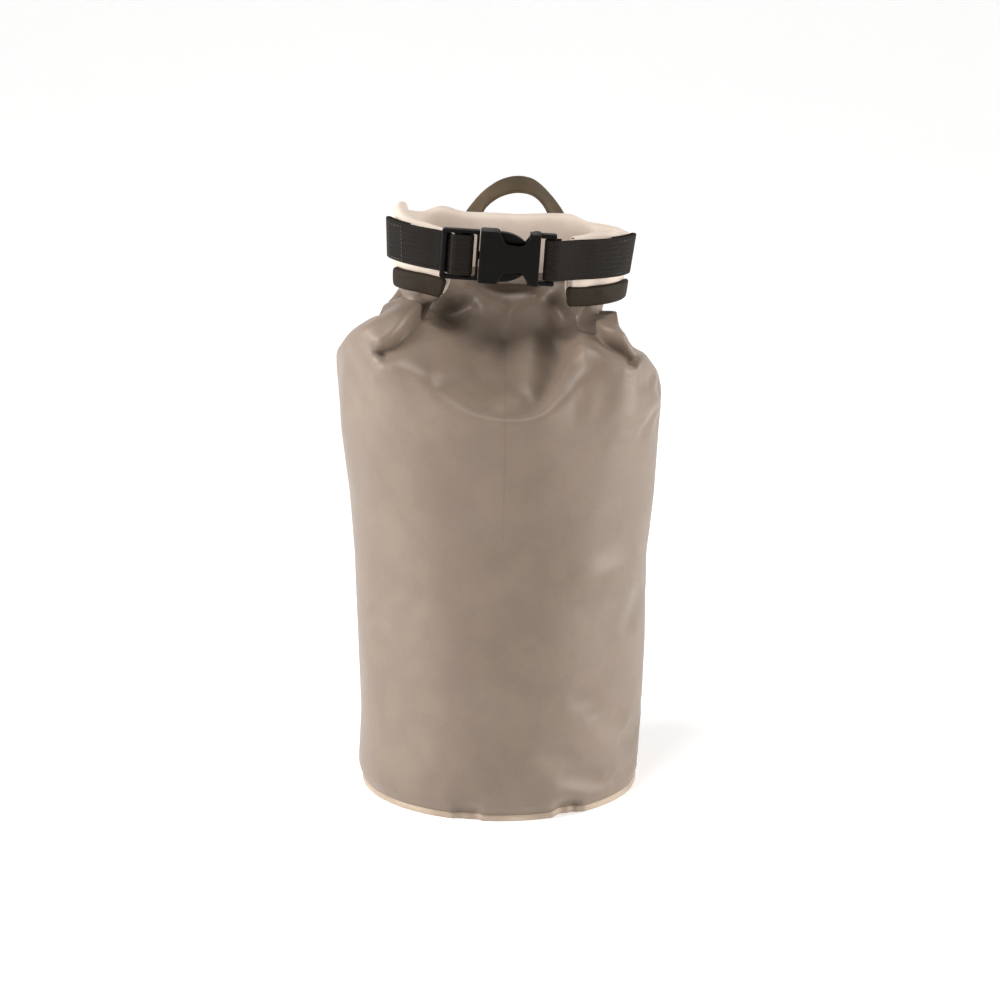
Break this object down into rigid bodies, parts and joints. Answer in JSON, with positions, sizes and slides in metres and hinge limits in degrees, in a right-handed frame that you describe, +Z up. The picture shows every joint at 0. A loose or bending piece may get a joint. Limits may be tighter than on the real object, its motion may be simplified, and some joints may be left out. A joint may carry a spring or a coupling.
{
  "type": "roll-top dry bag",
  "caption": "Cylindrical roll-top waterproof bag; the rolled mouth bends into a ring held by a side-release buckle, with a webbing carry loop behind.",
  "frame": {"origin": "centre of the round base where it rests on the ground", "axes": "+Z up along the bag, -Y towards the buckle side, +X to the right seen from the buckle side"},
  "size_m": [0.1998, 0.183, 0.375],
  "materials": {
    "coated_fabric": "woven taupe cloth with a pearly coating",
    "rolled_fabric": "the same coated cloth, rolled",
    "seam_tape": "satin welded film",
    "stiffener_plastic": "matte flexible strip",
    "webbing": "flat woven polyamide webbing",
    "buckle_plastic": "fine textured acetal",
    "thread": "bonded sewing thread"
  },
  "bodies": {
    "bag": {"tube_wall": "coated_fabric", "tube_seam_tape": "seam_tape", "base_panel": "coated_fabric", "base_seam_tape": "seam_tape", "handle_patch_left": "coated_fabric", "handle_patch_right": "coated_fabric", "handle_root_left": "webbing", "handle_root_right": "webbing", "handle_stitching_left": "thread", "handle_stitching_right": "thread"},
    "closure": {"rolled_mouth": "rolled_fabric", "mouth_stiffener": "stiffener_plastic", "mouth_band_left": "webbing", "mouth_band_right": "webbing", "left_strap": "webbing", "right_strap": "webbing", "right_strap_wrap": "webbing", "left_strap_stitching": "thread", "right_strap_stitching": "thread", "buckle_socket": "buckle_plastic"},
    "plug": {"buckle_plug": "buckle_plastic", "left_strap_wrap": "webbing"},
    "prong_upper": {"buckle_prong_upper": "buckle_plastic"},
    "prong_lower": {"buckle_prong_lower": "buckle_plastic"},
    "carry_loop": {"handle_loop": "webbing"}
  },
  "joints": [
    {"name": "mouth_unroll", "type": "slide", "parent": "bag", "child": "closure", "axis": [0, 0, 1], "range_m": [0, 0.046]},
    {"name": "buckle_release", "type": "slide", "parent": "closure", "child": "plug", "axis": [-0.9976, 0, 0.0698], "range_m": [0, 0.03], "deforming": ["buckle_prong_upper", "buckle_prong_lower", "left_strap"]},
    {"name": "prong_upper_press", "type": "hinge", "parent": "plug", "child": "prong_upper", "pos_m": [-0.01166, -0.045, 0.35844], "axis": [0, 1, 0], "range_deg": [0, 8], "stiffness_Nm_per_rad": 0.6},
    {"name": "prong_lower_press", "type": "hinge", "parent": "plug", "child": "prong_lower", "pos_m": [-0.01301, -0.045, 0.33909], "axis": [0, -1, 0], "range_deg": [0, 8], "stiffness_Nm_per_rad": 0.6},
    {"name": "carry_loop_swing", "type": "hinge", "parent": "bag", "child": "carry_loop", "pos_m": [0.009, 0.042, 0.3115], "axis": [-1, 0, 0], "range_deg": [0, 80]}
  ]
}
